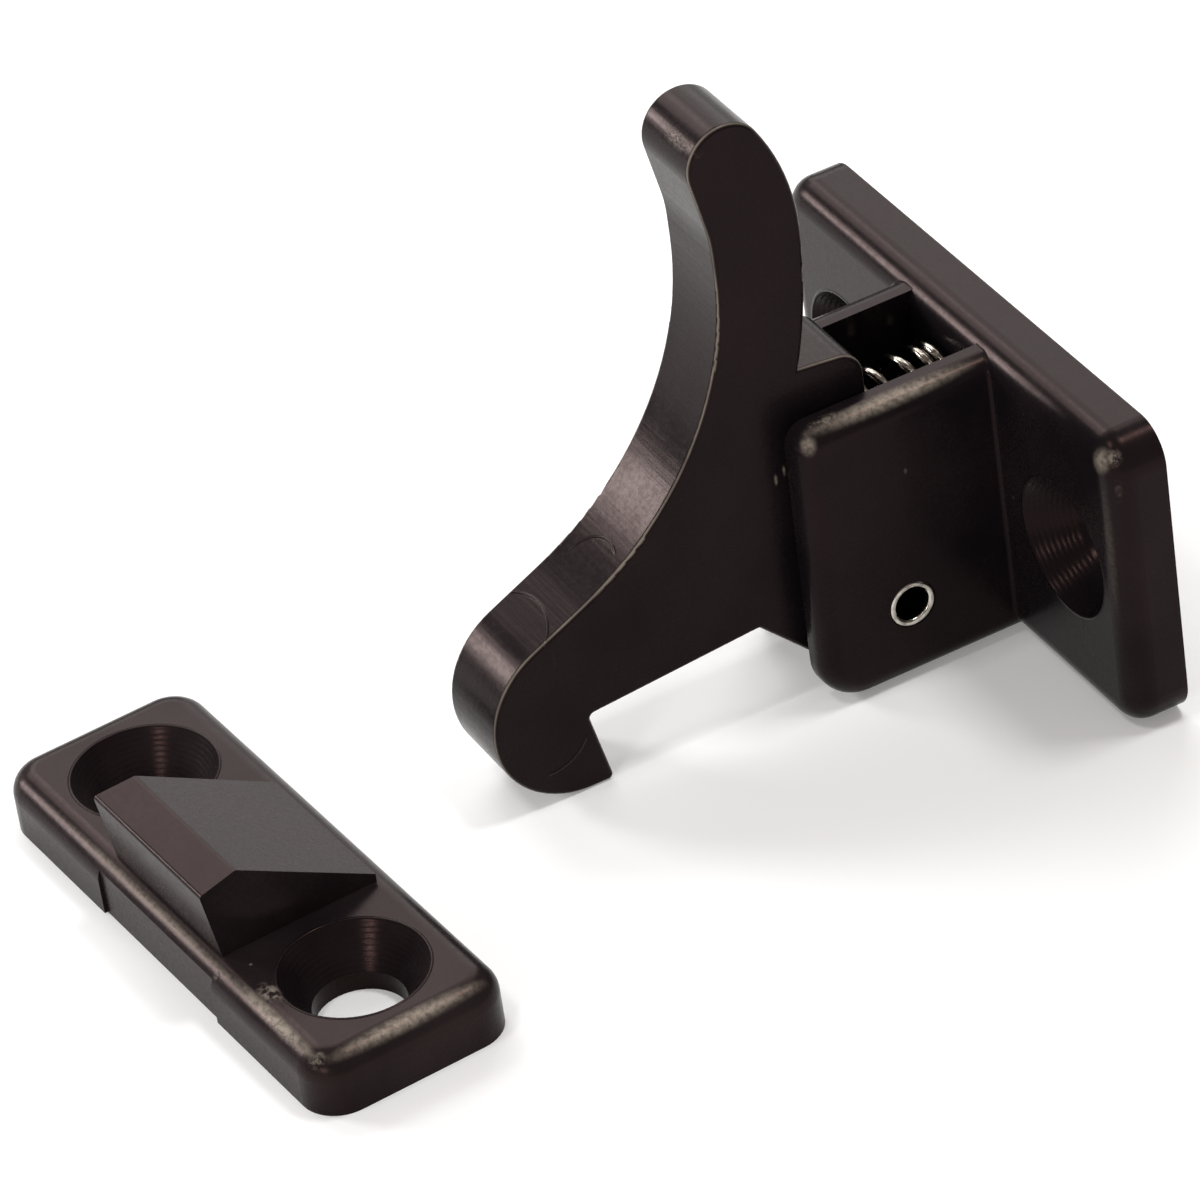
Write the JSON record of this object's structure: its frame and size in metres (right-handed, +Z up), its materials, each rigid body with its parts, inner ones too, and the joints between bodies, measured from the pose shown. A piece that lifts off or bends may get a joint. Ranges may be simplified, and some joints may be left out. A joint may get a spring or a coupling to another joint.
{
  "type": "cabinet elbow catch",
  "caption": "Cabinet elbow catch: a sprung, pinned lever with a hook in a screw-on housing, and a separate wedge strike plate that the hook snaps behind.",
  "frame": {"origin": "middle of the housing's two screw holes, on the housing's flat back face, which lies against the door", "axes": "+Y out of the back face into the door, +X along the housing plate, +Z up; the hook and the strike plate lie towards -Y and the shelf's plane is at Z = -9.2 mm"},
  "size_m": [0.0353, 0.0545, 0.0364],
  "materials": {
    "black_plastic": "glossy moulded",
    "pin_steel": "bright drawn",
    "spring_steel": "bright wire"
  },
  "bodies": {
    "mounted_parts": {"housing": "black_plastic", "pivot_pin": "pin_steel", "spring": "spring_steel", "strike_plate": "black_plastic"},
    "lever_body": {"lever": "black_plastic"}
  },
  "joints": [
    {"name": "lever_pivot", "type": "hinge", "parent": "mounted_parts", "child": "lever_body", "pos_m": [0, -0.0094, -0.0044], "axis": [-1, 0, 0], "range_deg": [0, 20], "stiffness_Nm_per_rad": 0.16, "springref_deg": -11.46, "deforming": ["spring"]}
  ]
}
